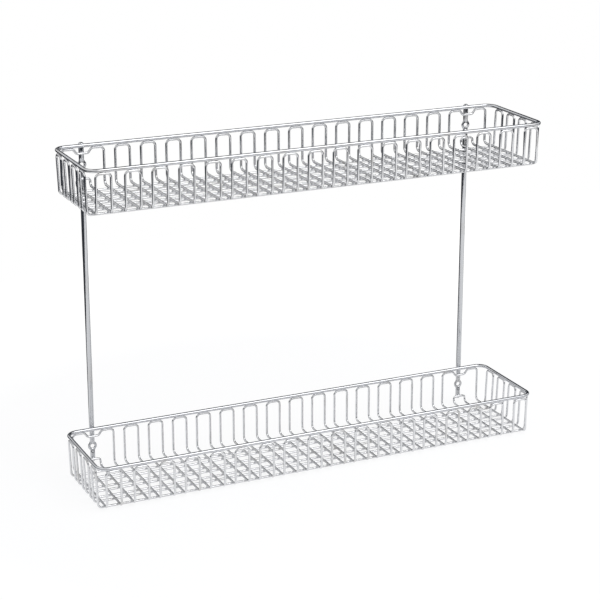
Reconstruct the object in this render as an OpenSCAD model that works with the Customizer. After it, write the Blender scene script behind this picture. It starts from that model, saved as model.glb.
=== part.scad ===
// Two-tier wire organizer for the inside of a cabinet door or the wall of a sink cabinet.
// Two long, shallow wire baskets stand one above the other on a pair of rods.
// Each rod is flattened and drilled at four fixing points, two to a rod, for screws.
// Lengths are in millimetres. X runs along the baskets, +Y towards the wall and +Z up.
// The origin is on the floor, under the middle of the box that holds the whole organizer.

/* [Baskets] */
// Length of a basket over its rim
basket_l = 480; // [400:5:600]
// Width of a basket over its rim
basket_w = 105; // [98:1:160]
// Height of a basket, from the underside of its floor to the top of its rim
basket_h = 45.4; // [40:0.2:100]
// Rise from one basket to the next
tier_pitch = 290; // [120:5:420]
// Radius of the rim's corners, measured at the outside
rim_corner_r = 12; // [8:0.5:20]

/* [Wire] */
// Diameter of the rim wire
rim_d = 3.6; // [3:0.1:4.5]
// Diameter of the basket wire
wire_d = 2.3; // [1.8:0.1:2.8]
// Space left between two wires where they are welded
weld_gap = 0.05; // [0.02:0.01:0.15]

/* [Cross loops] */
// Number of plain cross loops in a basket, between its two post loops
cross_loops = 14; // [10:1:14]
// Width of a cross loop, between the centres of its two wires
cross_pair_w = 14.7; // [12:0.1:15.5]
// Distance from the end of the basket to the centre of the outermost cross wire
cross_inset = 8.25; // [7.5:0.05:12]
// Bend radius where a cross wire turns up from the floor, at its centre line
cross_bend_r = 4.5; // [3:0.25:6]
// Corner radius of the arches under the rim, at the wire's centre line
arch_r = 4; // [3:0.25:5.5]

/* [Long loops] */
// Number of long loops in a basket
long_loops = 4; // [3:1:4]
// Width of a long loop, between the centres of its two wires
long_pair_w = 13.5; // [11.5:0.1:14]
// Distance from the long side of the basket to the centre of the nearest long wire
long_inset = 11.25; // [9:0.05:14]
// Bend radius where a long wire turns up at the end of the basket, at its centre line
long_bend_r = 4; // [3:0.25:5.5]

/* [Post loops] */
// Width of the bay that a post stands behind, between the centres of its wires
bay_w = 13.5; // [12.5:0.1:16]
// Height of the low arch at the foot of the bay, above the cross wires
low_arch_h = 7.5; // [7.5:0.1:14]
// Corner radius of the low arch, at the wire's centre line
low_arch_r = 3; // [2:0.25:3]
// Depth of the dip in the bay's top wire
dip_h = 4.8; // [3:0.1:8]
// Width of the flat at the bottom of the dip
dip_flat = 11.2; // [9:0.1:12]
// Length that each slope of the dip takes along the basket
dip_run = 3.6; // [3:0.1:4.5]
// Bend radius of the dip, at the wire's centre line
dip_r = 3; // [2:0.25:3]

/* [Posts] */
// Diameter of the post rod
post_d = 5; // [4:0.1:6.5]
// Height of a post's upper end above the top of the upper rim
post_rise = 0.6; // [0:0.1:10]
// Reach of a post's lower end below the centre of the low arch
post_tail = 3.5; // [2:0.1:6]
// Rounding at the ends of a post
post_round = 1.6; // [0.5:0.1:1.9]

/* [Eyes] */
// Outer diameter of a flattened eye
eye_d = 9.4; // [8.4:0.1:12]
// Diameter of the screw hole
eye_hole_d = 4.5; // [3:0.1:5.5]
// Thickness of a flattened eye
eye_t = 2.4; // [1.6:0.1:3.4]
// Drop from the centre of a rim to the centre of the screw hole below it
eye_drop = 19.5; // [17:0.5:24]
// Reach of the shoulders above and below the centre of the hole
eye_shoulder = 6; // [5.2:0.1:9]
// Length of the ramp over which the round rod flattens
eye_ramp = 1.8; // [1.2:0.1:4]

/* [Hidden] */
$fn = 40;

rim_r = rim_d / 2;
wire_r = wire_d / 2;
post_r = post_d / 2;

// The post stands behind the basket, so the basket sits forward of the origin by half of that
basket_y = -(post_d + weld_gap) / 2;
post_y = basket_y + basket_w / 2 + weld_gap + post_r;

// Heights above the underside of a basket: long wires lie lowest and the cross wires rest on them
long_z = wire_r;
cross_z = long_z + wire_d + weld_gap;
rim_z = basket_h - rim_r;
arch_z = rim_z - rim_r - weld_gap - wire_r;
low_arch_z = cross_z + low_arch_h;
eye_z = rim_z - eye_drop;

// The walls are flush with the outside of the rim
wall_x = basket_l / 2 - wire_r;
front_y = basket_y - basket_w / 2 + wire_r;
back_y = basket_y + basket_w / 2 - wire_r;

// A post loop has four cross wires, and the post stands behind the middle two
outer_x = basket_l / 2 - cross_inset;
post_x = outer_x - cross_pair_w - bay_w / 2;
post_loop_w = 2 * cross_pair_w + bay_w;

// The plain cross loops share what is left between the post loops
cross_span = 2 * (outer_x - post_loop_w);
cross_gap = (cross_span - cross_loops * cross_pair_w) / (cross_loops + 1);
cross_pitch = cross_pair_w + cross_gap;

// The long loops share the width of the floor between their insets
long_gap = (basket_w - 2 * long_inset - long_loops * long_pair_w) / (long_loops - 1);
long_pitch = long_pair_w + long_gap;

// The lower end of a post sits behind the low arch, and its upper end stands proud of the rim
post_foot = low_arch_z - post_tail;
post_h = tier_pitch + basket_h + post_rise - post_foot;

// The cuts that flatten an eye start this far outside the rod
cut_margin = 1;
// Bare runs shorter than this are left out between two bends
least_run = 0.01;
// A run is steep if it climbs by more than this share of its length
steep_share = 0.7;
// The shoulders of an eye leave its disc at these shares of its radius, across and along the rod
flank_share = 0.9;
shoulder_share = 0.38;
// The plate of an eye ends this far inside the round rod
neck_sink = 0.1;

chrome = [0.8, 0.81, 0.82];

TIERS = ["lower", "upper"];
SIDES = ["left", "right"];

function unit(v) = v / norm(v);

// Angle through which the wire turns at corner q, on its way from p to r
function turn(p, q, r) = acos(max(-1, min(1, unit(q - p) * unit(r - q))));

// Length of wire path that a bend of radius bend_r takes up on each side of corner q
function setback(p, q, r, bend_r) = bend_r * tan(turn(p, q, r) / 2);

// A matrix that stands a shape's X, Y and Z along three given directions at a place
function stand(x, y, z, place) = [
  [x[0], y[0], z[0], place[0]],
  [x[1], y[1], z[1], place[1]],
  [x[2], y[2], z[2], place[2]],
  [0, 0, 0, 1]
];

// Round rod from p to q
module straight(p, q, d) {
  z = unit(q - p);
  x = unit(cross(abs(z[2]) > steep_share ? [1, 0, 0] : [0, 0, 1], z));
  multmatrix(stand(x, cross(z, x), z, p))
    cylinder(d = d, h = norm(q - p));
}

// Bend at corner q, on the way from p to r
module bend(p, q, r, bend_r, d) {
  along = unit(q - p);
  axis = unit(cross(along, unit(r - q)));
  out = cross(along, axis);
  centre = q - setback(p, q, r, bend_r) * along - bend_r * out;
  multmatrix(stand(out, along, axis, centre))
    rotate_extrude(angle = turn(p, q, r))
      translate([bend_r, 0]) circle(d = d);
}

// Closed loop of wire through the corners, where each corner is [place, bend radius]
module wire_loop(corners, d) {
  n = len(corners);
  for (i = [0:n - 1]) {
    p = corners[i][0];
    q = corners[(i + 1) % n][0];
    r = corners[(i + 2) % n][0];
    s = corners[(i + 3) % n][0];
    radius_q = corners[(i + 1) % n][1];
    radius_r = corners[(i + 2) % n][1];
    along = unit(r - q);
    start = q + setback(p, q, r, radius_q) * along;
    end = r - setback(q, r, s, radius_r) * along;
    bend(p, q, r, radius_q, d);
    if (norm(end - start) > least_run) straight(start, end, d);
  }
}

// Rim: one thicker wire, bent to a rounded rectangle and butt-welded
module rim() {
  x = basket_l / 2 - rim_r;
  y = basket_w / 2 - rim_r;
  r = rim_corner_r - rim_r;
  color(chrome)
    translate([0, basket_y, rim_z])
      wire_loop([[[-x, -y, 0], r], [[x, -y, 0], r], [[x, y, 0], r], [[-x, y, 0], r]], rim_d);
}

// Long loop: two floor wires that rise at both ends and meet in an arch under the rim
module long_loop(i) {
  y = basket_y + (i - (long_loops + 1) / 2) * long_pitch;
  y1 = y - long_pair_w / 2;
  y2 = y + long_pair_w / 2;
  color(chrome)
    wire_loop([
      [[-wall_x, y1, long_z], long_bend_r],
      [[wall_x, y1, long_z], long_bend_r],
      [[wall_x, y1, arch_z], arch_r],
      [[wall_x, y2, arch_z], arch_r],
      [[wall_x, y2, long_z], long_bend_r],
      [[-wall_x, y2, long_z], long_bend_r],
      [[-wall_x, y2, arch_z], arch_r],
      [[-wall_x, y1, arch_z], arch_r]
    ], wire_d);
}

// Cross wire from the back to the front along the floor, at x, without its upper ends
function floor_corners(x) = [
  [[x, back_y, cross_z], cross_bend_r],
  [[x, front_y, cross_z], cross_bend_r]
];

// The same wire laid from the front to the back
function floor_corners_back(x) = [
  [[x, front_y, cross_z], cross_bend_r],
  [[x, back_y, cross_z], cross_bend_r]
];

// Arch between the wires at x1 and x2, on the wall at y and with its top at z
function arch_corners(x1, x2, y, z, r) = [[[x1, y, z], r], [[x2, y, z], r]];

// Cross loop: two wires up the front wall, across the floor and up the back wall
module cross_loop(i) {
  x = (i - (cross_loops + 1) / 2) * cross_pitch;
  x1 = x - cross_pair_w / 2;
  x2 = x + cross_pair_w / 2;
  color(chrome)
    wire_loop(concat(
      floor_corners(x1),
      arch_corners(x1, x2, front_y, arch_z, arch_r),
      floor_corners_back(x2),
      arch_corners(x2, x1, back_y, arch_z, arch_r)
    ), wire_d);
}

// Post loop, for the right post: four cross wires from one length of wire.
// A low arch joins the middle two behind the post's foot.
// The outer two meet in a top wire, which dips under the rim to clear a screwdriver's way.
module post_loop() {
  x1 = post_x - post_loop_w / 2;
  x2 = post_x - bay_w / 2;
  x3 = post_x + bay_w / 2;
  x4 = post_x + post_loop_w / 2;
  dip_z = arch_z - dip_h;
  flat_x = dip_flat / 2;
  slope_x = flat_x + dip_run;
  color(chrome)
    wire_loop(concat(
      floor_corners(x1),
      arch_corners(x1, x2, front_y, arch_z, arch_r),
      floor_corners_back(x2),
      arch_corners(x2, x3, back_y, low_arch_z, low_arch_r),
      floor_corners(x3),
      arch_corners(x3, x4, front_y, arch_z, arch_r),
      floor_corners_back(x4),
      [
        [[x4, back_y, arch_z], arch_r],
        [[post_x + slope_x, back_y, arch_z], dip_r],
        [[post_x + flat_x, back_y, dip_z], dip_r],
        [[post_x - flat_x, back_y, dip_z], dip_r],
        [[post_x - slope_x, back_y, arch_z], dip_r],
        [[x1, back_y, arch_z], arch_r]
      ]
    ), wire_d);
}

// Rod with both ends rounded, standing on the origin
module rounded_rod(d, h, round_r) {
  r = d / 2;
  rotate_extrude() {
    translate([0, round_r]) square([r, h - 2 * round_r]);
    square([r - round_r, h]);
    for (z = [round_r, h - round_r])
      intersection() {
        translate([r - round_r, z]) circle(r = round_r);
        square([r, h]);
      }
  }
}

// Outline of an eye: a disc with a straight shoulder above and below it
module eye_outline() {
  shoulder_x = flank_share * eye_d / 2;
  shoulder_z = shoulder_share * eye_d / 2;
  neck_x = sqrt(pow(post_r, 2) - pow(eye_t / 2, 2)) - neck_sink;
  circle(d = eye_d);
  polygon([
    [neck_x, eye_shoulder],
    [shoulder_x, shoulder_z],
    [shoulder_x, -shoulder_z],
    [neck_x, -eye_shoulder],
    [-neck_x, -eye_shoulder],
    [-shoulder_x, -shoulder_z],
    [-shoulder_x, shoulder_z],
    [-neck_x, eye_shoulder]
  ]);
}

// What pressing takes off one face of the rod at an eye, as a prism across the rod
module eye_press() {
  y1 = eye_t / 2;
  y2 = post_r + cut_margin;
  flat_z = eye_d / 2;
  slope = eye_ramp / (post_r - y1);
  rotate([90, 0, 90])
    linear_extrude(height = eye_d, center = true)
      polygon([
        [y1, -flat_z],
        [y1, flat_z],
        [y2, flat_z + slope * (y2 - y1)],
        [y2, -flat_z - slope * (y2 - y1)]
      ]);
}

// Post: one rod behind both baskets, with an eye pressed into it and drilled at each of them
module post() {
  eyes = [eye_z, eye_z + tier_pitch];
  color(chrome)
    translate([post_x, post_y, 0])
      difference() {
        union() {
          difference() {
            translate([0, 0, post_foot]) rounded_rod(post_d, post_h, post_round);
            for (z = eyes) translate([0, 0, z]) {
              eye_press();
              mirror([0, 1, 0]) eye_press();
            }
          }
          for (z = eyes) translate([0, 0, z])
            rotate([90, 0, 0])
              linear_extrude(height = eye_t, center = true) eye_outline();
        }
        for (z = eyes) translate([0, 0, z])
          rotate([90, 0, 0])
            cylinder(d = eye_hole_d, h = post_d + 2 * cut_margin, center = true);
      }
}

// The left post and its loops mirror the right ones
module on_side(side) {
  mirror([side == "left" ? 1 : 0, 0, 0]) children();
}

module basket_node(tier, kind) {
  name = str(tier, kind);
  lift = tier == "upper" ? tier_pitch : 0;
  translate([0, 0, lift]) children();
}

for (tier = TIERS) {
  basket_node(tier, "_rim") rim();
  for (i = [1:long_loops]) basket_node(tier, str("_long_loop_", i)) long_loop(i);
  for (i = [1:cross_loops]) basket_node(tier, str("_cross_loop_", i)) cross_loop(i);
  for (side = SIDES) basket_node(tier, str("_post_loop_", side)) on_side(side) post_loop();
}
on_side("left") post();  // left_post
on_side("right") post();  // right_post
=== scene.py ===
# %% [markdown]
# # A two-tier wire organizer in bright chrome
# The real rack is welded from bent wire: a thick rim round each basket, thinner wires that run along
# and across the floor and up the walls, and two rods that carry both baskets.
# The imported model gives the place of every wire, so each piece here is bent from the box of its node.

from math import cos, pi, radians, sin, sqrt, tan

import bpy
from mathutils import Matrix, Vector


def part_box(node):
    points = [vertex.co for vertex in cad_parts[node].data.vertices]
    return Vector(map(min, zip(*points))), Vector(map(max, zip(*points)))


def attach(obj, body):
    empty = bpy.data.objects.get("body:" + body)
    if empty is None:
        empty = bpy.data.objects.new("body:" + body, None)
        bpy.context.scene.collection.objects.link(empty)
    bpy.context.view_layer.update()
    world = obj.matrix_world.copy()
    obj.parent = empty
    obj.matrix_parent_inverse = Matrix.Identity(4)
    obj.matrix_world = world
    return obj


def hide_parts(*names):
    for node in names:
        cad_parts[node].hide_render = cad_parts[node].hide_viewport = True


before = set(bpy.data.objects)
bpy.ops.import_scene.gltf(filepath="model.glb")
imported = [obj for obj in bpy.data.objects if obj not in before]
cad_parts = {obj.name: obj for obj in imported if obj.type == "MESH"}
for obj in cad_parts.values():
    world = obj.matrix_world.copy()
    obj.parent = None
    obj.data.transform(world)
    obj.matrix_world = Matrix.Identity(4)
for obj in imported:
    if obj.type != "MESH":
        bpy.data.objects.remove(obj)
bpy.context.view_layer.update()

# %% [markdown]
# ## The camera
# The photograph was taken with a shifted lens, which keeps the rods parallel.
# The same shift could be set here, but it would push the rack out of the middle when the view is turned.
# A plain lens from a little higher shows the same faces, so that is used.

# %% Camera
MM = 0.001
VIEW_AZIMUTH = radians(-24.77)
VIEW_ELEVATION = radians(18.03)
VIEW_DISTANCE = 1802.47 * MM
VIEW_AIM = Vector((0, 0, 168 * MM))
SLIDE_RIGHT = -4.35 * MM
SLIDE_UP = -2.91 * MM
LENS = 107.98
CLIP_NEAR = 0.01
CLIP_FAR = 100

toward_camera = Vector((
    sin(VIEW_AZIMUTH) * cos(VIEW_ELEVATION),
    -cos(VIEW_AZIMUTH) * cos(VIEW_ELEVATION),
    sin(VIEW_ELEVATION),
))
view_right = Vector((cos(VIEW_AZIMUTH), sin(VIEW_AZIMUTH), 0))
view_up = toward_camera.cross(view_right)

camera_data = bpy.data.cameras.new("camera")
camera_data.lens = LENS
camera_data.clip_start = CLIP_NEAR
camera_data.clip_end = CLIP_FAR
camera = bpy.data.objects.new("camera", camera_data)
bpy.context.scene.collection.objects.link(camera)
camera_place = VIEW_AIM + VIEW_DISTANCE * toward_camera + SLIDE_RIGHT * view_right + SLIDE_UP * view_up
camera.matrix_world = (
    Matrix.Translation(camera_place)
    @ Matrix((view_right, view_up, toward_camera)).transposed().to_4x4()
)
bpy.context.scene.camera = camera
bpy.context.scene.view_settings.view_transform = "Standard"
print("camera at", camera_place)

# %% [markdown]
# ## Bending wire
# A wire keeps its round section all the way, so the natural way to model it is to sweep a circle.
# A curve with a bevel would do it, but its rings bunch up in tight bends. Here a circle is extruded
# along each straight run and spun round each bend, as a wire former does.

# %% Small helpers for edit mode
WELD_DISTANCE = 1e-6


def deselect_all():
    bpy.ops.object.select_all(action="DESELECT")


def close_mesh():
    """Joins the last ring to the first and turns the faces outwards."""
    bpy.ops.mesh.select_all(action="SELECT")
    bpy.ops.mesh.remove_doubles(threshold=WELD_DISTANCE)
    bpy.ops.mesh.normals_make_consistent(inside=False)


def extrude(step):
    bpy.ops.mesh.extrude_region_move(TRANSFORM_OT_translate={"value": step})


print("points closer than", WELD_DISTANCE, "m are merged")

# %% The wire bender
WIRE_SIDES = 16
BEND_STEPS = 6
LEAST_RUN = 1e-5


def bend_loop(name, corners, diameter):
    """A closed loop of round wire through corners, each a place and a bend radius."""
    deselect_all()
    places = [Vector(place) for place, radius in corners]
    start = (places[-1] + places[0]) / 2
    heading = (places[0] - places[-1]).normalized()
    bpy.ops.mesh.primitive_circle_add(
        vertices=WIRE_SIDES,
        radius=diameter / 2,
        location=start,
        rotation=heading.to_track_quat("Z", "Y").to_euler(),
    )
    wire = bpy.context.object
    wire.name = name
    bpy.ops.object.transform_apply(location=True, rotation=True, scale=True)
    bpy.ops.object.mode_set(mode="EDIT")
    here = start
    for index, (place, radius) in enumerate(corners):
        corner = places[index]
        onward = (places[(index + 1) % len(places)] - corner).normalized()
        angle = heading.angle(onward)
        setback = radius * tan(angle / 2)
        run = corner - heading * setback - here
        # Where one bend follows another at once, there is no straight run to extrude
        if run.length > LEAST_RUN:
            extrude(run)
        # Spin turns against the right-hand rule, so its axis points the other way
        axis = onward.cross(heading).normalized()
        centre = here + run + heading.cross(axis) * radius
        bpy.ops.mesh.spin(steps=BEND_STEPS, angle=angle, center=centre, axis=axis)
        here = corner + onward * setback
        heading = onward
    extrude(start - here)
    close_mesh()
    bpy.ops.object.mode_set(mode="OBJECT")
    bpy.ops.object.shade_smooth()
    print(name, len(wire.data.polygons), "faces")
    return wire


print("a wire has", WIRE_SIDES, "sides, and a bend", BEND_STEPS, "steps")

# %% [markdown]
# ## The rims
# A rim is one thicker wire bent to a rounded rectangle. Its ends are butt-welded and ground, so the
# loop shows no joint. A bevelled frame could give the same form, but the bender makes it as the maker
# does. Both rims are the same, so the upper one is a copy of the lower one.

# %% The two baskets
TIERS = ("lower", "upper")

lower_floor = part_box("lower_long_loop_1")[0]
upper_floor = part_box("upper_long_loop_1")[0]
TIER_STEP = Vector((0, 0, upper_floor.z - lower_floor.z))
print("one basket stands", round(TIER_STEP.z / MM, 1), "mm above the other")

# %% Copies
def copy_piece(piece, name, step):
    """A copy with its own mesh, moved by step in the mesh."""
    copy = piece.copy()
    copy.data = piece.data.copy()
    copy.name = name
    copy.data.name = name
    copy.data.transform(Matrix.Translation(step))
    bpy.context.scene.collection.objects.link(copy)
    return copy


print("a copy gets a mesh of its own")

# %% Rims
RIM_CORNER_R = 10.2 * MM

rim_low, rim_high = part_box("lower_rim")
RIM_D = rim_high.z - rim_low.z
RIM_R = RIM_D / 2
rim_z = rim_low.z + RIM_R


def rim_corners():
    x1, x2 = rim_low.x + RIM_R, rim_high.x - RIM_R
    y1, y2 = rim_low.y + RIM_R, rim_high.y - RIM_R
    places = [(x1, y1, rim_z), (x2, y1, rim_z), (x2, y2, rim_z), (x1, y2, rim_z)]
    return [(place, RIM_CORNER_R) for place in places]


pieces = {}
pieces["lower_rim"] = bend_loop("lower_rim_wire", rim_corners(), RIM_D)
pieces["upper_rim"] = copy_piece(pieces["lower_rim"], "upper_rim_wire", TIER_STEP)
print("rim wire:", round(RIM_D / MM, 2), "mm, wires in place:", len(pieces))

# %% [markdown]
# ## The long loops
# Each long loop runs along the floor, rises at both ends of the basket and closes in an arch under the
# rim. It could be built from four straight wires, but the real one is one wire, so one is bent through
# eight corners. The end walls lean in a little towards the floor, as the photograph shows.

# %% Long loops
WIRE_D = 2.3 * MM
WIRE_R = WIRE_D / 2
LONG_BEND_R = 4 * MM
ARCH_R = 4 * MM
END_LEAN = radians(2)
LONG_LOOPS = 4

long_low, long_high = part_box("lower_long_loop_1")


def long_corners():
    y1, y2 = long_low.y + WIRE_R, long_high.y - WIRE_R
    floor_z, arch_z = long_low.z + WIRE_R, long_high.z - WIRE_R
    arch_x = long_high.x - WIRE_R
    floor_x = arch_x - (arch_z - floor_z) * tan(END_LEAN)
    return [
        ((-floor_x, y1, floor_z), LONG_BEND_R),
        ((floor_x, y1, floor_z), LONG_BEND_R),
        ((arch_x, y1, arch_z), ARCH_R),
        ((arch_x, y2, arch_z), ARCH_R),
        ((floor_x, y2, floor_z), LONG_BEND_R),
        ((-floor_x, y2, floor_z), LONG_BEND_R),
        ((-arch_x, y2, arch_z), ARCH_R),
        ((-arch_x, y1, arch_z), ARCH_R),
    ]


def copy_to_node(piece, first_node, node, name):
    """A copy of the piece that stands for first_node, moved to where node is."""
    return copy_piece(piece, name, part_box(node)[0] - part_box(first_node)[0])


first_long = bend_loop("lower_long_wire_1", long_corners(), WIRE_D)
pieces["lower_long_loop_1"] = first_long
for tier in TIERS:
    for number in range(1, LONG_LOOPS + 1):
        node = f"{tier}_long_loop_{number}"
        name = f"{tier}_long_wire_{number}"
        if node not in pieces:
            pieces[node] = copy_to_node(first_long, "lower_long_loop_1", node, name)
print("wires in place:", len(pieces))

# %% [markdown]
# ## The cross loops
# Each cross loop goes up the front wall, over in an arch, down and across the floor, and up the back
# wall. An array modifier could repeat it, but then all would be one piece. On the rack each loop is a
# wire of its own, so one is bent and the others are copies, each at the place of its node.

# %% Cross loops
CROSS_BEND_R = 4.5 * MM
CROSS_LOOPS = 14

cross_low, cross_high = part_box("lower_cross_loop_1")
CROSS_PAIR = cross_high.x - cross_low.x - WIRE_D
front_y, back_y = cross_low.y + WIRE_R, cross_high.y - WIRE_R
cross_z, arch_z = cross_low.z + WIRE_R, cross_high.z - WIRE_R


def to_front(x):
    """Corners of a cross wire that is laid from the back of the floor to the front."""
    return [((x, back_y, cross_z), CROSS_BEND_R), ((x, front_y, cross_z), CROSS_BEND_R)]


def to_back(x):
    return to_front(x)[::-1]


def arch(x1, x2, y, z, radius):
    return [((x1, y, z), radius), ((x2, y, z), radius)]


def cross_corners():
    x1, x2 = cross_low.x + WIRE_R, cross_high.x - WIRE_R
    return (
        to_front(x1)
        + arch(x1, x2, front_y, arch_z, ARCH_R)
        + to_back(x2)
        + arch(x2, x1, back_y, arch_z, ARCH_R)
    )


first_cross = bend_loop("lower_cross_wire_1", cross_corners(), WIRE_D)
pieces["lower_cross_loop_1"] = first_cross
for tier in TIERS:
    for number in range(1, CROSS_LOOPS + 1):
        node = f"{tier}_cross_loop_{number}"
        name = f"{tier}_cross_wire_{number}"
        if node not in pieces:
            pieces[node] = copy_to_node(first_cross, "lower_cross_loop_1", node, name)
print("wires in place:", len(pieces))

# %% [markdown]
# ## The post loops
# At each rod one long wire makes four cross wires. A low arch joins the middle two at the rod's foot,
# and the top wire dips under the rim where the rod is welded on. Two plain loops with a bar between them
# could stand in for it, but the photograph shows one wire. The left loop is the right one mirrored.

# %% The other side
def mirror_piece(piece, name):
    """A copy with its own mesh on the other side of the middle, with its faces turned outwards again."""
    copy = copy_piece(piece, name, Vector((0, 0, 0)))
    copy.data.transform(Matrix.Scale(-1, 4, Vector((1, 0, 0))))
    deselect_all()
    copy.select_set(True)
    bpy.context.view_layer.objects.active = copy
    bpy.ops.object.mode_set(mode="EDIT")
    close_mesh()
    bpy.ops.object.mode_set(mode="OBJECT")
    return copy


print("a mirrored copy is turned outwards again")

# %% Post loops
LOW_ARCH_R = 3 * MM
LOW_ARCH_RISE = 7.5 * MM
DIP_R = 3 * MM
DIP_DEPTH = 4.8 * MM
DIP_FLAT = 11.2 * MM
DIP_RUN = 3.6 * MM

post_loop_low, post_loop_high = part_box("lower_post_loop_right")


def post_loop_corners():
    x1, x4 = post_loop_low.x + WIRE_R, post_loop_high.x - WIRE_R
    x2, x3 = x1 + CROSS_PAIR, x4 - CROSS_PAIR
    middle = (x1 + x4) / 2
    low_arch_z = cross_z + LOW_ARCH_RISE
    flat, slope = DIP_FLAT / 2, DIP_FLAT / 2 + DIP_RUN
    top_wire = [
        ((x4, back_y, arch_z), ARCH_R),
        ((middle + slope, back_y, arch_z), DIP_R),
        ((middle + flat, back_y, arch_z - DIP_DEPTH), DIP_R),
        ((middle - flat, back_y, arch_z - DIP_DEPTH), DIP_R),
        ((middle - slope, back_y, arch_z), DIP_R),
        ((x1, back_y, arch_z), ARCH_R),
    ]
    return (
        to_front(x1)
        + arch(x1, x2, front_y, arch_z, ARCH_R)
        + to_back(x2)
        + arch(x2, x3, back_y, low_arch_z, LOW_ARCH_R)
        + to_front(x3)
        + arch(x3, x4, front_y, arch_z, ARCH_R)
        + to_back(x4)
        + top_wire
    )


right_loop = bend_loop("lower_post_wire_right", post_loop_corners(), WIRE_D)
left_loop = mirror_piece(right_loop, "lower_post_wire_left")
pieces["lower_post_loop_right"] = right_loop
pieces["lower_post_loop_left"] = left_loop
pieces["upper_post_loop_right"] = copy_piece(right_loop, "upper_post_wire_right", TIER_STEP)
pieces["upper_post_loop_left"] = copy_piece(left_loop, "upper_post_wire_left", TIER_STEP)
print("wires in place:", len(pieces))

# %% [markdown]
# ## The posts
# A post is one round rod. At each basket a press flattens it to an eye, which spreads sideways and keeps
# soft edges, and the eye is then drilled. A plate joined to a cylinder would show a seam, and a spin
# can't flatten it. So a ring is extruded up the rod, and scaled at each step to the section there.
# A bit that widens outwards then drills each eye and countersinks it in one boolean cut.

# %% Where the posts stand
post_low, post_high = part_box("right_post")
POST_R = (post_high.y - post_low.y) / 2
EYE_R = (post_high.x - post_low.x) / 2
POST_X = (post_low.x + post_high.x) / 2
POST_Y = (post_low.y + post_high.y) / 2
print("post radius:", round(POST_R / MM, 2), "mm, eye radius:", round(EYE_R / MM, 2), "mm")

# %% Sections of an eye
EYE_THICK = 2.4 * MM
EYE_STEPS = 14
EYE_REACH = 7.4 * MM
FLANK_X = 3.2 * MM
FLANK_Z = 3.44 * MM
FLANK_END_Z = 4.9 * MM
PRESS_Z = 3.1 * MM


def ease(share):
    """Runs from 0 to 1 with a soft start and end."""
    share = min(1, max(0, share))
    return share * share * (3 - 2 * share)


def eye_sections(eye_z):
    """Sections through one eye: a height, a half width and a half thickness.

    The outline is a disc up to FLANK_Z from the middle, where its half width is FLANK_X, and narrows to
    the rod's radius at FLANK_END_Z. The flat is even up to PRESS_Z and round again at EYE_REACH.
    """
    sections = []
    for step in range(-EYE_STEPS, EYE_STEPS + 1):
        reach = EYE_REACH * abs(step) / EYE_STEPS
        disc = sqrt(max(0, EYE_R**2 - reach**2))
        flank = FLANK_X - (FLANK_X - POST_R) * ease((reach - FLANK_Z) / (FLANK_END_Z - FLANK_Z))
        half_width = disc if reach < FLANK_Z else flank
        pressed = 1 - ease((reach - PRESS_Z) / (EYE_REACH - PRESS_Z))
        half_thick = POST_R - (POST_R - EYE_THICK / 2) * pressed
        sections.append((eye_z + EYE_REACH * step / EYE_STEPS, half_width, half_thick))
    return sections


print("sections of an eye:", len(eye_sections(0)))

# %% Sections of a post
EYE_DROP = 19.5 * MM
POST_ROUND = 1.6 * MM
ROUND_STEPS = 4


def end_sections(end_z, up):
    """Sections through a rounded end, from the bottom up. At the top end up is 1, and -1 at the foot."""
    sections = []
    for step in range(ROUND_STEPS + 1):
        turn = pi / 2 * step / ROUND_STEPS
        radius = POST_R - POST_ROUND * (1 - cos(turn))
        sections.append((end_z - up * POST_ROUND * (1 - sin(turn)), radius, radius))
    return sections if up > 0 else sections[::-1]


lower_eye_z = rim_z - EYE_DROP
eye_heights = (lower_eye_z, lower_eye_z + TIER_STEP.z)
post_sections = end_sections(post_low.z, -1)
for eye_z in eye_heights:
    post_sections += eye_sections(eye_z)
post_sections += end_sections(post_high.z, 1)
print("post sections:", len(post_sections))

# %% The press
POST_SIDES = 32


def press_rod(name, sections):
    """One rod through the sections, closed at both ends."""
    deselect_all()
    first_z, last_x, last_y = sections[0]
    bpy.ops.mesh.primitive_circle_add(
        vertices=POST_SIDES, radius=last_x, fill_type="NGON", location=(POST_X, POST_Y, first_z)
    )
    rod = bpy.context.object
    rod.name = name
    bpy.ops.object.transform_apply(location=True, rotation=True, scale=True)
    bpy.ops.object.mode_set(mode="EDIT")
    last_z = first_z
    for z, half_x, half_y in sections[1:]:
        extrude((0, 0, z - last_z))
        bpy.ops.transform.resize(
            value=(half_x / last_x, half_y / last_y, 1), center_override=(POST_X, POST_Y, z)
        )
        last_z, last_x, last_y = z, half_x, half_y
    close_mesh()
    bpy.ops.object.mode_set(mode="OBJECT")
    return rod


right_rod = press_rod("right_post_rod", post_sections)
print("faces before drilling:", len(right_rod.data.polygons))

# %% The drill
EYE_HOLE_R = 2.25 * MM
SINK = 0.55 * MM
DRILL_HALF = 5 * MM


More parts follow.
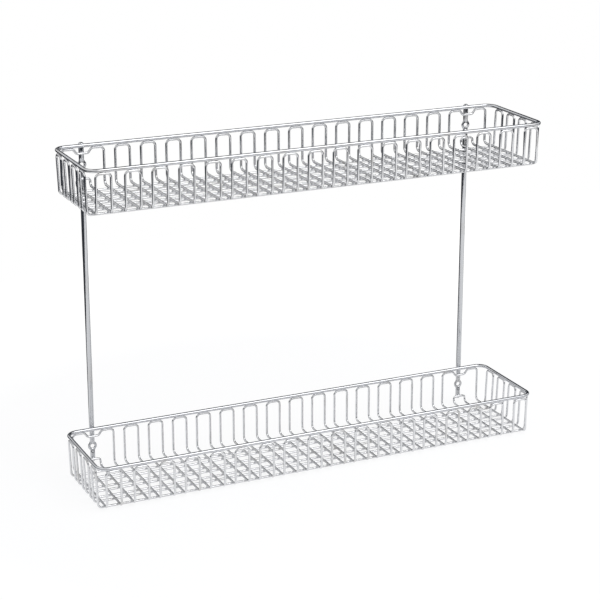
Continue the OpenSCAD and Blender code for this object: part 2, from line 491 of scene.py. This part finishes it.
def drill(rod, hole_z):
    """Drills a hole through the rod and countersinks it from both sides."""
    deselect_all()
    straight = EYE_THICK / 2 - SINK
    mouth_r = EYE_HOLE_R + DRILL_HALF - straight
    bit_rings = [(-straight, EYE_HOLE_R), (straight, EYE_HOLE_R), (DRILL_HALF, mouth_r)]
    last_y, last_r = -DRILL_HALF, mouth_r
    bpy.ops.mesh.primitive_circle_add(
        vertices=POST_SIDES,
        radius=last_r,
        fill_type="NGON",
        location=(POST_X, POST_Y + last_y, hole_z),
        rotation=(pi / 2, 0, 0),
    )
    bit = bpy.context.object
    bpy.ops.object.transform_apply(location=True, rotation=True, scale=True)
    bpy.ops.object.mode_set(mode="EDIT")
    for y, radius in bit_rings:
        extrude((0, y - last_y, 0))
        grow = radius / last_r
        bpy.ops.transform.resize(value=(grow, 1, grow), center_override=(POST_X, POST_Y + y, hole_z))
        last_y, last_r = y, radius
    close_mesh()
    bpy.ops.object.mode_set(mode="OBJECT")
    bpy.context.view_layer.objects.active = rod
    cut = rod.modifiers.new("drill", "BOOLEAN")
    cut.operation = "DIFFERENCE"
    cut.solver = "EXACT"
    cut.object = bit
    bpy.ops.object.modifier_apply(modifier=cut.name)
    bpy.data.objects.remove(bit)


for eye_z in eye_heights:
    drill(right_rod, eye_z)
print("faces after drilling:", len(right_rod.data.polygons))

# %% Both posts
SHARP = radians(35)

deselect_all()
right_rod.select_set(True)
bpy.ops.object.shade_smooth_by_angle(angle=SHARP)
left_rod = copy_piece(right_rod, "left_post_rod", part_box("left_post")[0] - post_low)
pieces["right_post"] = right_rod
pieces["left_post"] = left_rod
for node, piece in pieces.items():
    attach(piece, "root")
    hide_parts(node)
print("pieces in place:", len(pieces))

# %% [markdown]
# ## Welds
# Spot welds hold the wires where they cross. Each leaves a small nugget that fills the corner between
# two wires. A boolean union with a soft edge would be truer, but slow on hundreds of crossings. So a
# nugget with few faces is modelled once for each kind of weld and copied, and a basket's are one piece.

# %% One nugget
NUGGET_SEGMENTS = 8
NUGGET_RINGS = 5


def nugget(name, half_size):
    """A flattened bead that reaches half_size from its middle along each axis."""
    deselect_all()
    bpy.ops.mesh.primitive_uv_sphere_add(
        segments=NUGGET_SEGMENTS, ring_count=NUGGET_RINGS, radius=1, location=(0, 0, 0)
    )
    bead = bpy.context.object
    bead.name = name
    bpy.ops.object.mode_set(mode="EDIT")
    bpy.ops.transform.resize(value=half_size)
    bpy.ops.object.mode_set(mode="OBJECT")
    bpy.ops.object.shade_smooth()
    return bead


def nuggets_at(half_size, places):
    """Models one nugget and sets a copy at each place."""
    seed = nugget("seed_bead", half_size)
    copies = [copy_piece(seed, "bead", Vector(place)) for place in places]
    bpy.data.objects.remove(seed)
    return copies


def join_beads(beads, name):
    deselect_all()
    for bead in beads:
        bead.select_set(True)
    bpy.context.view_layer.objects.active = beads[0]
    bpy.ops.object.join()
    beads[0].name = name
    return beads[0]


print("faces of a nugget:", NUGGET_SEGMENTS * NUGGET_RINGS)

# %% Where the wires cross
long_ys = []
for number in range(1, LONG_LOOPS + 1):
    low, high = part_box(f"lower_long_loop_{number}")
    long_ys += [low.y + WIRE_R, high.y - WIRE_R]

loop_boxes = [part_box(f"lower_cross_loop_{number}") for number in range(1, CROSS_LOOPS + 1)]
cross_xs = [x for low, high in loop_boxes for x in (low.x + WIRE_R, high.x - WIRE_R)]
back_arch_xs = [(low.x + high.x) / 2 for low, high in loop_boxes]
front_arch_xs = list(back_arch_xs)
for side in ("left", "right"):
    low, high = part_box(f"lower_post_loop_{side}")
    outer, inner = low.x + WIRE_R, high.x - WIRE_R
    cross_xs += [outer, outer + CROSS_PAIR, inner - CROSS_PAIR, inner]
    front_arch_xs += [outer + CROSS_PAIR / 2, inner - CROSS_PAIR / 2]
end_ys = [(long_ys[i] + long_ys[i + 1]) / 2 for i in range(0, len(long_ys), 2)]
print("crossings on a floor:", len(cross_xs) * len(long_ys))

# %% Weld nuggets
FLOOR_NUGGET = (1.2 * MM, 1.2 * MM, 0.55 * MM)
FRONT_NUGGET = (2.6 * MM, 0.75 * MM, 0.55 * MM)
END_NUGGET = (0.75 * MM, 2.6 * MM, 0.55 * MM)
POST_NUGGET = (1.5 * MM, 0.6 * MM, 1.3 * MM)

floor_weld_z = (long_low.z + WIRE_D + cross_low.z) / 2
rim_weld_z = (cross_high.z + rim_low.z) / 2
end_x = long_high.x - WIRE_R
post_weld_y = rim_high.y
post_weld_zs = (rim_z, arch_z - DIP_DEPTH, cross_z + LOW_ARCH_RISE)

beads = nuggets_at(FLOOR_NUGGET, [(x, y, floor_weld_z) for x in cross_xs for y in long_ys])
beads += nuggets_at(FRONT_NUGGET, [(x, front_y, rim_weld_z) for x in front_arch_xs])
beads += nuggets_at(FRONT_NUGGET, [(x, back_y, rim_weld_z) for x in back_arch_xs])
beads += nuggets_at(END_NUGGET, [(x, y, rim_weld_z) for x in (-end_x, end_x) for y in end_ys])
beads += nuggets_at(POST_NUGGET, [(x, post_weld_y, z) for x in (-POST_X, POST_X) for z in post_weld_zs])
print("nuggets in a basket:", len(beads))

# %% Welds of both baskets
lower_welds = join_beads(beads, "lower_basket_welds")
upper_welds = copy_piece(lower_welds, "upper_basket_welds", TIER_STEP)
welds = [lower_welds, upper_welds]
print("faces in a basket's welds:", len(lower_welds.data.polygons))

# %% [markdown]
# ## Chrome
# Bright chrome over drawn steel wire is a mirror with faults: faint ripples from the drawing die, a
# haze where it was handled, and a trace of warm nickel where the plating is thin.
# A picture of worn metal could hold these, but it would need seams along each wire. Noise on Object
# coordinates has none, so one node group makes the faults, and each material gives it its own values.
# The wire's brighter colour is no fault but painted light, for the brighter reflections on its wires.

# %% Node helpers
def new_group(name, inputs, outputs):
    group = bpy.data.node_groups.new(name, "ShaderNodeTree")
    for label, kind, value in inputs:
        socket = group.interface.new_socket(name=label, in_out="INPUT", socket_type=kind)
        socket.default_value = value
    for label, kind in outputs:
        group.interface.new_socket(name=label, in_out="OUTPUT", socket_type=kind)
    return group


def add_node(tree, kind, **settings):
    node = tree.nodes.new(kind)
    for label, value in settings.items():
        setattr(node, label, value)
    return node


print("node groups so far:", len(bpy.data.node_groups))

# %% The plating group
RIPPLE_DETAIL = 3
HAZE_DETAIL = 4
THIN_HAZE_RANGE = (0.55, 0.8)
ROUGH_HAZE_RANGE = (0.35, 0.7)


def plating_group():
    group = new_group(
        "plated wire finish",
        [
            ("Bright", "NodeSocketColor", (0.60, 0.61, 0.635, 1)),
            ("Thin", "NodeSocketColor", (0.50, 0.49, 0.475, 1)),
            ("Ripple Scale", "NodeSocketFloat", 700),
            ("Haze Scale", "NodeSocketFloat", 45),
            ("Least Roughness", "NodeSocketFloat", 0.05),
            ("Most Roughness", "NodeSocketFloat", 0.16),
        ],
        [
            ("Color", "NodeSocketColor"),
            ("Roughness", "NodeSocketFloat"),
            ("Height", "NodeSocketFloat"),
        ],
    )
    values = add_node(group, "NodeGroupInput")
    result = add_node(group, "NodeGroupOutput")
    place = add_node(group, "ShaderNodeTexCoord")
    ripple = add_node(group, "ShaderNodeTexNoise")
    haze = add_node(group, "ShaderNodeTexNoise")
    rough = add_node(group, "ShaderNodeMapRange")
    tone = add_node(group, "ShaderNodeMix", data_type="RGBA")
    thin = add_node(group, "ShaderNodeMapRange")
    ripple.inputs["Detail"].default_value = RIPPLE_DETAIL
    haze.inputs["Detail"].default_value = HAZE_DETAIL
    for node, (least, most) in ((thin, THIN_HAZE_RANGE), (rough, ROUGH_HAZE_RANGE)):
        node.inputs["From Min"].default_value = least
        node.inputs["From Max"].default_value = most
    link = group.links.new
    for noise, scale in ((ripple, "Ripple Scale"), (haze, "Haze Scale")):
        link(place.outputs["Object"], noise.inputs["Vector"])
        link(values.outputs[scale], noise.inputs["Scale"])
    link(haze.outputs["Fac"], rough.inputs["Value"])
    link(values.outputs["Least Roughness"], rough.inputs["To Min"])
    link(values.outputs["Most Roughness"], rough.inputs["To Max"])
    link(haze.outputs["Fac"], thin.inputs["Value"])
    link(thin.outputs["Result"], tone.inputs["Factor"])
    link(values.outputs["Bright"], tone.inputs["A"])
    link(values.outputs["Thin"], tone.inputs["B"])
    link(tone.outputs["Result"], result.inputs["Color"])
    link(rough.outputs["Result"], result.inputs["Roughness"])
    link(ripple.outputs["Fac"], result.inputs["Height"])
    return group


plating = plating_group()
print("group sockets:", [item.name for item in plating.interface.items_tree])

# %% Chrome materials
RIPPLE_HEIGHT = 0.02 * MM


def chrome(name, bump, **values):
    material = bpy.data.materials.new(name)
    material.use_nodes = True
    tree = material.node_tree
    shader = tree.nodes["Principled BSDF"]
    shader.inputs["Metallic"].default_value = 1
    finish = add_node(tree, "ShaderNodeGroup", node_tree=plating)
    for label, value in values.items():
        finish.inputs[label.replace("_", " ")].default_value = value
    relief = add_node(tree, "ShaderNodeBump")
    relief.inputs["Strength"].default_value = bump
    relief.inputs["Distance"].default_value = RIPPLE_HEIGHT
    tree.links.new(finish.outputs["Color"], shader.inputs["Base Color"])
    tree.links.new(finish.outputs["Roughness"], shader.inputs["Roughness"])
    tree.links.new(finish.outputs["Height"], relief.inputs["Height"])
    tree.links.new(relief.outputs["Normal"], shader.inputs["Normal"])
    return material


rim_chrome = chrome("rim chrome", bump=0.3)
# The wire chrome is a brighter copy of the rim's chrome: painted light that stands in for the brighter
# reflections of the floor wires
wire_chrome_painted_brighter = chrome("wire chrome", bump=0.4, Most_Roughness=0.2, Bright=(0.70, 0.705, 0.72, 1))
post_chrome = chrome("post chrome", bump=0.3, Haze_Scale=30.0, Bright=(0.56, 0.57, 0.59, 1))
weld_chrome = chrome("weld chrome", bump=0.8, Least_Roughness=0.12, Most_Roughness=0.3)
print("group users:", plating.users)

# %% Dress the pieces
def dress(piece, material):
    piece.data.materials.clear()
    piece.data.materials.append(material)


for node, piece in pieces.items():
    if node.endswith("rim"):
        dress(piece, rim_chrome)
    elif node.endswith("post"):
        dress(piece, post_chrome)
    else:
        dress(piece, wire_chrome_painted_brighter)
for weld in welds:
    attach(weld, "root")
    dress(weld, weld_chrome)
print("dressed pieces:", len(pieces) + len(welds))

# %% [markdown]
# ## The floor
# Chrome has no colour of its own: it shows the room. Under the real rack lies a white sweep.
# A plain white surface would take the lamps' grey shading, so the floor is part paint and part light:
# the camera and the reflections see its white, and near the middle the paint keeps the rack's shadow.

# %% Floor paint
FLOOR_WHITE = 1.1
FLOOR_PAINT = (0.86, 0.87, 0.9, 1)
FLOOR_ROUGHNESS = 0.9
SHADOW_INNER_R = 0.35
SHADOW_OUTER_R = 0.7
MIDDLE_WHITE_SHARE = 0.75


def emission(tree, colour, strength=1):
    node = add_node(tree, "ShaderNodeEmission")
    node.inputs["Color"].default_value = (*colour, 1)
    node.inputs["Strength"].default_value = strength
    return node


def floor_material():
    """Pale paint, seen as white by the camera and in reflections, less so near the middle."""
    material = bpy.data.materials.new("pale floor")
    material.use_nodes = True
    tree = material.node_tree
    paint = tree.nodes["Principled BSDF"]
    paint.inputs["Base Color"].default_value = FLOOR_PAINT
    paint.inputs["Roughness"].default_value = FLOOR_ROUGHNESS
    paint.inputs["Specular IOR Level"].default_value = 0
    white = emission(tree, (1, 1, 1), FLOOR_WHITE)
    path = add_node(tree, "ShaderNodeLightPath")
    seen = add_node(tree, "ShaderNodeMath", operation="MAXIMUM")
    share = add_node(tree, "ShaderNodeMath", operation="MULTIPLY")
    place = add_node(tree, "ShaderNodeTexCoord")
    reach = add_node(tree, "ShaderNodeVectorMath", operation="LENGTH")
    fade = add_node(tree, "ShaderNodeMapRange")
    fade.inputs["From Min"].default_value = SHADOW_INNER_R
    fade.inputs["From Max"].default_value = SHADOW_OUTER_R
    fade.inputs["To Min"].default_value = MIDDLE_WHITE_SHARE
    mix = add_node(tree, "ShaderNodeMixShader")
    link = tree.links.new
    link(place.outputs["Object"], reach.inputs[0])
    link(reach.outputs["Value"], fade.inputs["Value"])
    link(path.outputs["Is Camera Ray"], seen.inputs[0])
    link(path.outputs["Is Glossy Ray"], seen.inputs[1])
    link(seen.outputs["Value"], share.inputs[0])
    link(fade.outputs["Result"], share.inputs[1])
    link(share.outputs["Value"], mix.inputs["Fac"])
    link(paint.outputs["BSDF"], mix.inputs[1])
    link(white.outputs["Emission"], mix.inputs[2])
    link(mix.outputs["Shader"], tree.nodes["Material Output"].inputs["Surface"])
    return material


pale_floor = floor_material()
print("nodes of the floor paint:", len(pale_floor.node_tree.nodes))

# %% The floor
FLOOR_RADIUS = 1.15
FLOOR_CENTRE = (0.45, -0.3)
FLOOR_DROP = 0.2 * MM
FLOOR_SIDES = 96

deselect_all()
bpy.ops.mesh.primitive_circle_add(
    vertices=FLOOR_SIDES,
    radius=FLOOR_RADIUS,
    fill_type="NGON",
    location=(*FLOOR_CENTRE, -FLOOR_DROP),
)
bpy.ops.object.transform_apply(location=True, rotation=True, scale=True)
floor = bpy.context.object
floor.name = "floor"
floor.data.materials.append(pale_floor)
print("floor radius:", FLOOR_RADIUS)

# %% [markdown]
# ## The room in the reflections
# A photographer sets dark and bright cards round a chrome object, out of the picture. Their reflections
# draw a dark outline and a pale middle on each wire. A picture of a real room could stand in for them,
# but plain cards can be set one wire direction at a time, and only reflections see them.
# - The dark ring is the far wall of the room, below the white ceiling.
# - The front flag darkens the uprights of the upper basket, and the back flag the sides of the rods.
# - The back card and the ceiling card outline the rims, and the window card lights the floor wires.

# %% The dark ring
ROOM_SIDES = 64
ROOM_RADIUS = 2.4
ROOM_FOOT = -2.2
ROOM_TOP = 0.75
ROOM_DARK = (0.05, 0.055, 0.065)


def for_reflections(card, name, colour):
    """Gives a stage card its own plain level and lets only reflections see it."""
    card.name = name
    material = bpy.data.materials.new(name)
    material.use_nodes = True
    tree = material.node_tree
    paint = emission(tree, colour)
    tree.links.new(paint.outputs["Emission"], tree.nodes["Material Output"].inputs["Surface"])
    card.data.materials.append(material)
    card.visible_camera = False
    card.visible_diffuse = False
    card.visible_shadow = False
    card.visible_transmission = False


deselect_all()
bpy.ops.mesh.primitive_cylinder_add(
    vertices=ROOM_SIDES,
    radius=ROOM_RADIUS,
    depth=ROOM_TOP - ROOM_FOOT,
    end_fill_type="NOTHING",
    location=(0, 0, (ROOM_TOP + ROOM_FOOT) / 2),
)
for_reflections(bpy.context.object, "dark_room", ROOM_DARK)
print("ring radius:", ROOM_RADIUS, "m, top at", ROOM_TOP, "m")

# %% Cards for reflections
FLAG_RISE = 2 * MM
CARDS = {
    "front_flag": {
        "colour": ROOM_DARK,
        "place": (-0.71, -1.16, FLAG_RISE),
        "size": (0.48, 0.56),
        "flat": True,
    },
    "back_flag": {
        "colour": (0.05, 0.055, 0.06),
        "place": (0.3, 0.85, FLAG_RISE),
        "size": (2.8, 1.4),
        "flat": True,
    },
    "back_card": {"colour": (0.2, 0.205, 0.21), "place": (0.45, 2.2, 0.95), "size": (1.75, 1.7)},
    "window_card": {"colour": (0.9, 0.9, 0.9), "place": (-0.92, 1.98, 0.86), "size": (1.2, 1.15)},
    "ceiling_card": {"colour": (0.03, 0.033, 0.04), "place": (0.88, 1.05, 1.65), "size": (1.6, 3.7)},
}


def set_card(name, colour, place, size, flat=False):
    """A card of a width and a height that faces the object, or lies flat on the floor."""
    deselect_all()
    facing = (0, 0, 0) if flat else Vector(place).to_track_quat("Z", "Y").to_euler()
    bpy.ops.mesh.primitive_plane_add(size=1, location=place, rotation=facing)
    bpy.context.object.scale = (*size, 1)
    bpy.ops.object.transform_apply(location=True, rotation=True, scale=True)
    for_reflections(bpy.context.object, name, colour)


for name, settings in CARDS.items():
    set_card(name, **settings)
print("cards:", 1 + len(CARDS))

# %% [markdown]
# ## The white surround
# The photograph's background is plain white. One background strength would either light the rack too
# much or look grey, so the camera and the reflections see full white, and the rest gets less.

# %% The world
LIT_LEVEL = 0.6
SEEN_LEVEL = 1.0

world = bpy.data.worlds.new("studio")
bpy.context.scene.world = world
world.use_nodes = True
background = world.node_tree.nodes["Background"]
background.inputs["Color"].default_value = (1, 1, 1, 1)
path = add_node(world.node_tree, "ShaderNodeLightPath")
seen = add_node(world.node_tree, "ShaderNodeMath", operation="MAXIMUM")
seen_too = add_node(world.node_tree, "ShaderNodeMath", operation="MAXIMUM")
level = add_node(world.node_tree, "ShaderNodeMapRange")
level.inputs["To Min"].default_value = LIT_LEVEL
level.inputs["To Max"].default_value = SEEN_LEVEL
link = world.node_tree.links.new
link(path.outputs["Is Camera Ray"], seen.inputs[0])
link(path.outputs["Is Glossy Ray"], seen.inputs[1])
link(seen.outputs["Value"], seen_too.inputs[0])
link(path.outputs["Is Transmission Ray"], seen_too.inputs[1])
link(seen_too.outputs["Value"], level.inputs["Value"])
link(level.outputs["Result"], background.inputs["Strength"])
print("world nodes:", len(world.node_tree.nodes))

# %% [markdown]
# ## Lamps
# Two soft boxes hang in front of the rack and above it, as in a product photograph. Smaller and
# stronger lamps would give sharper highlights, but those would run over the dark outlines of the rims.

# %% Lamps
SOFTBOXES = {
    "key_softbox": {"place": (0.9, -1.4, 1.65), "aim": (0, 0, 0.15), "size": (1.6, 1.0), "power": 8.5},
    "top_softbox": {"place": (0.6, -0.75, 2.1), "aim": (0, 0, 0.1), "size": (1.6, 0.9), "power": 7.7},
}


def softbox(name, place, aim, size, power):
    lamp = bpy.data.lights.new(name, "AREA")
    lamp.shape = "RECTANGLE"
    lamp.size, lamp.size_y = size
    lamp.energy = power
    box = bpy.data.objects.new(name, lamp)
    bpy.context.scene.collection.objects.link(box)
    facing = Vector(aim) - Vector(place)
    box.matrix_world = Matrix.Translation(place) @ facing.to_track_quat("-Z", "Y").to_matrix().to_4x4()


for name, settings in SOFTBOXES.items():
    softbox(name, **settings)
print("lamps:", list(SOFTBOXES))
